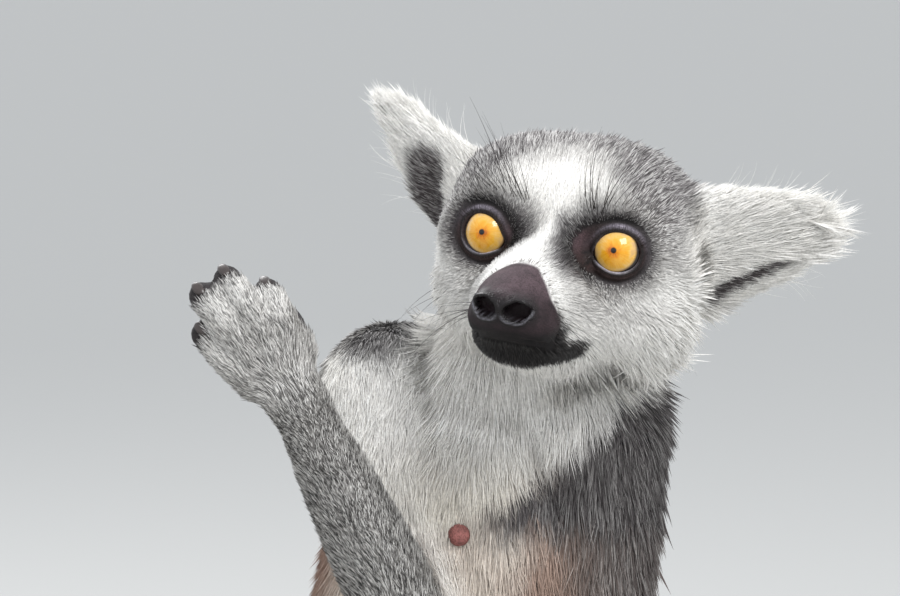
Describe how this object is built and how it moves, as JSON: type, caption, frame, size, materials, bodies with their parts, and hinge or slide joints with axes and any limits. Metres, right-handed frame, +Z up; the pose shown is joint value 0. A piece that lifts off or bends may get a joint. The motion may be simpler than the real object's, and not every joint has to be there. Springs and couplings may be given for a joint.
{
  "type": "ring-tailed lemur",
  "caption": "Life-size ring-tailed lemur sitting upright on its haunches, head turned, one hand raised and the ringed tail laid along the floor.",
  "frame": {"origin": "centre of the whole footprint, at the level the animal sits on", "axes": "+X to the animal's left, -Y the way its body faces, +Z up"},
  "size_m": [0.3476, 0.4018, 0.3948],
  "materials": {
    "eye": "wet gloss",
    "nose_leather": "fine grained, slightly moist",
    "dark_lip": "short black hair on dark skin",
    "face_fur": "short soft fur",
    "ear_fur": "long white fur",
    "throat_fur": "soft fur",
    "chest_fur": "dense soft fur",
    "flank_fur": "dense soft fur",
    "rump_fur": "dense soft fur",
    "tail_fur": "long ringed fur",
    "limb_fur": "short grizzled fur"
  },
  "bodies": {
    "root": {"abdomen": "flank_fur", "chest": "chest_fur", "ear_left": "ear_fur", "ear_right": "ear_fur", "eye_left": "eye", "eye_right": "eye", "foot_left": "limb_fur", "foot_right": "limb_fur", "forearm_left": "limb_fur", "forearm_right": "limb_fur", "hand_left": "limb_fur", "hand_right": "limb_fur", "head": "face_fur", "lower_jaw": "dark_lip", "neck": "throat_fur", "nose": "nose_leather", "rump": "rump_fur", "shank_left": "limb_fur", "shank_right": "limb_fur", "tail_1": "tail_fur", "tail_2": "tail_fur", "tail_3": "tail_fur", "tail_4": "tail_fur", "tail_5": "tail_fur", "tail_6": "tail_fur", "tail_7": "tail_fur", "thigh_left": "limb_fur", "thigh_right": "limb_fur", "upper_arm_left": "limb_fur", "upper_arm_right": "limb_fur"}
  },
  "joints": []
}
